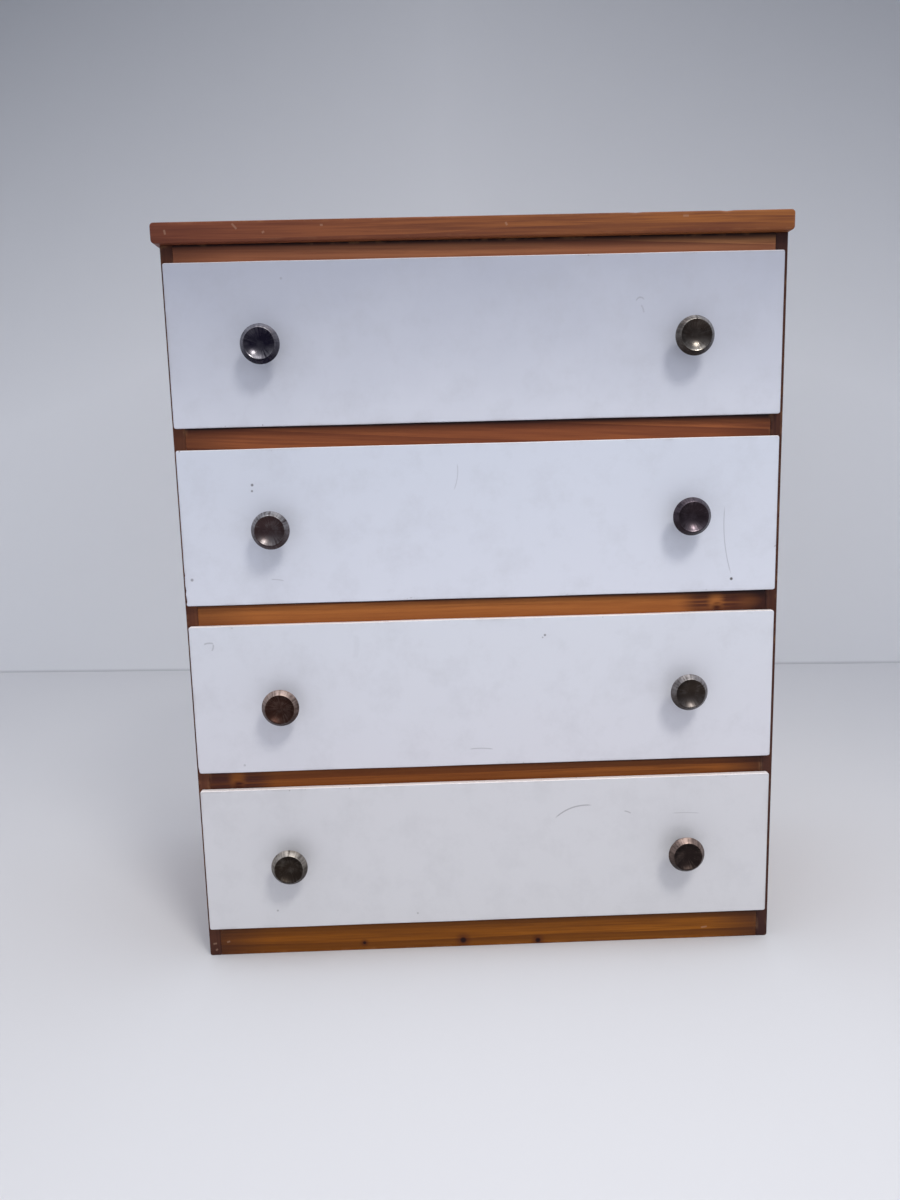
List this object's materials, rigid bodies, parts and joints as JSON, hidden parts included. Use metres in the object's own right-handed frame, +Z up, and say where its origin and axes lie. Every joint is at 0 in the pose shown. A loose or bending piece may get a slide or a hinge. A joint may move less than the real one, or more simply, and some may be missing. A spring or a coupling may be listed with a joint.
{
  "type": "miniature chest of drawers",
  "caption": "Miniature pine chest of drawers with white overlay fronts and dished metal knobs; each drawer slides out on wooden runners.",
  "frame": {"origin": "on the floor, in the middle of the carcass's width and of the whole depth over the knobs", "axes": "+Z up, the drawer fronts face -Y, +X to the right as seen from the front"},
  "size_m": [0.2577, 0.1536, 0.3154],
  "materials": {
    "stained_pine": "satin",
    "bare_pine": "matt",
    "plywood": "matt",
    "white_fronts": "satin",
    "antique_metal": "antiqued",
    "steel": "zinc plated"
  },
  "bodies": {
    "carcass": {"side_left": "stained_pine", "side_right": "stained_pine", "top_board": "stained_pine", "top_rail": "stained_pine", "drawer_rail_1": "stained_pine", "drawer_rail_2": "stained_pine", "drawer_rail_3": "stained_pine", "bottom_rail": "stained_pine", "rear_top_rail": "stained_pine", "rear_bottom_rail": "stained_pine", "back_panel": "plywood", "kicker_left": "bare_pine", "kicker_right": "bare_pine", "runner_left_1": "bare_pine", "runner_left_2": "bare_pine", "runner_left_3": "bare_pine", "runner_left_4": "bare_pine", "runner_right_1": "bare_pine", "runner_right_2": "bare_pine", "runner_right_3": "bare_pine", "runner_right_4": "bare_pine", "side_pins": "steel", "back_pins": "steel", "top_screws": "steel"},
    "drawer_1": {"drawer_1_front": "white_fronts", "drawer_1_box_front": "bare_pine", "drawer_1_side_left": "bare_pine", "drawer_1_side_right": "bare_pine", "drawer_1_back": "bare_pine", "drawer_1_bottom": "plywood", "drawer_1_knob_left": "antique_metal", "drawer_1_knob_right": "antique_metal", "drawer_1_knob_screws": "steel"},
    "drawer_2": {"drawer_2_front": "white_fronts", "drawer_2_box_front": "bare_pine", "drawer_2_side_left": "bare_pine", "drawer_2_side_right": "bare_pine", "drawer_2_back": "bare_pine", "drawer_2_bottom": "plywood", "drawer_2_knob_left": "antique_metal", "drawer_2_knob_right": "antique_metal", "drawer_2_knob_screws": "steel"},
    "drawer_3": {"drawer_3_front": "white_fronts", "drawer_3_box_front": "bare_pine", "drawer_3_side_left": "bare_pine", "drawer_3_side_right": "bare_pine", "drawer_3_back": "bare_pine", "drawer_3_bottom": "plywood", "drawer_3_knob_left": "antique_metal", "drawer_3_knob_right": "antique_metal", "drawer_3_knob_screws": "steel"},
    "drawer_4": {"drawer_4_front": "white_fronts", "drawer_4_box_front": "bare_pine", "drawer_4_side_left": "bare_pine", "drawer_4_side_right": "bare_pine", "drawer_4_back": "bare_pine", "drawer_4_bottom": "plywood", "drawer_4_knob_left": "antique_metal", "drawer_4_knob_right": "antique_metal", "drawer_4_knob_screws": "steel"}
  },
  "joints": [
    {"name": "drawer_1_slide", "type": "slide", "parent": "carcass", "child": "drawer_1", "axis": [0, -1, 0], "range_m": [0, 0.1]},
    {"name": "drawer_2_slide", "type": "slide", "parent": "carcass", "child": "drawer_2", "axis": [0, -1, 0], "range_m": [0, 0.1]},
    {"name": "drawer_3_slide", "type": "slide", "parent": "carcass", "child": "drawer_3", "axis": [0, -1, 0], "range_m": [0, 0.1]},
    {"name": "drawer_4_slide", "type": "slide", "parent": "carcass", "child": "drawer_4", "axis": [0, -1, 0], "range_m": [0, 0.1]}
  ]
}
